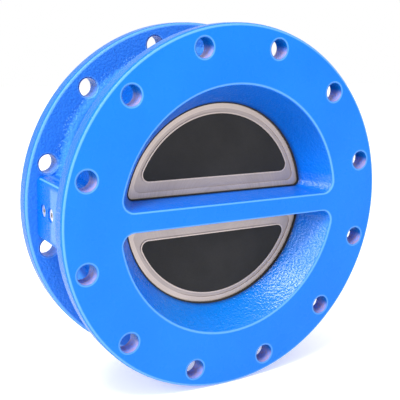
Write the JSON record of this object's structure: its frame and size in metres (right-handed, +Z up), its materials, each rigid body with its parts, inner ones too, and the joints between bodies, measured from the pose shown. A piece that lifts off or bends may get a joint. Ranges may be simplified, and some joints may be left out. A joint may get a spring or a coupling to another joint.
{
  "type": "double-flanged dual-plate check valve",
  "caption": "Double-flanged dual-plate check valve: two sprung half-round plates behind D-shaped ports swing open with the flow and close against a rubber seat.",
  "frame": {"origin": "centre of the inlet flange face", "axes": "+Y runs with the flow, from the inlet face to the outlet face; +Z is up, square to the bar between the ports; X lies along the hinge pin"},
  "size_m": [0.4449, 0.14, 0.445],
  "materials": {
    "coated_iron": "ductile iron under a glossy blue epoxy coating",
    "seat_rubber": "satin EPDM, bonded",
    "facing_rubber": "matt EPDM, bonded",
    "cast_stainless": "satin cast stainless steel with a machined face",
    "bronze": "turned bronze",
    "bearing_polymer": "filled PTFE",
    "spring_wire": "drawn stainless wire",
    "plug_steel": "turned steel",
    "sealing_ring": "fibre sealing ring",
    "pin_steel": "ground stainless bar"
  },
  "bodies": {
    "valve_body": {"body": "coated_iron", "seat_seal": "seat_rubber", "hinge_pin": "pin_steel", "stop_pin": "pin_steel", "upper_spring": "spring_wire", "lower_spring": "spring_wire", "body_bearing_left": "bearing_polymer", "body_bearing_right": "bearing_polymer", "plate_bearing_left": "bearing_polymer", "plate_bearing_right": "bearing_polymer", "spring_bearing_left": "bearing_polymer", "spring_bearing_middle": "bearing_polymer", "spring_bearing_right": "bearing_polymer", "hinge_retainer_left": "plug_steel", "hinge_retainer_right": "plug_steel", "stop_retainer_left": "plug_steel", "stop_retainer_right": "plug_steel", "hinge_ring_left": "sealing_ring", "hinge_ring_right": "sealing_ring", "stop_ring_left": "sealing_ring", "stop_ring_right": "sealing_ring"},
    "upper_plate": {"upper_plate": "cast_stainless", "upper_plate_facing": "facing_rubber", "upper_bush_inner": "bronze", "upper_bush_outer": "bronze"},
    "lower_plate": {"lower_plate": "cast_stainless", "lower_plate_facing": "facing_rubber", "lower_bush_inner": "bronze", "lower_bush_outer": "bronze"}
  },
  "joints": [
    {"name": "upper_plate_hinge", "type": "hinge", "parent": "valve_body", "child": "upper_plate", "pos_m": [0, 0.073, 0], "axis": [-1, 0, 0], "range_deg": [0, 80], "stiffness_Nm_per_rad": 6.6, "springref_deg": -18.33, "deforming": ["upper_spring"]},
    {"name": "lower_plate_hinge", "type": "hinge", "parent": "valve_body", "child": "lower_plate", "pos_m": [0, 0.073, 0], "axis": [1, 0, 0], "range_deg": [0, 80], "stiffness_Nm_per_rad": 6.6, "springref_deg": -18.33, "deforming": ["lower_spring"]}
  ]
}
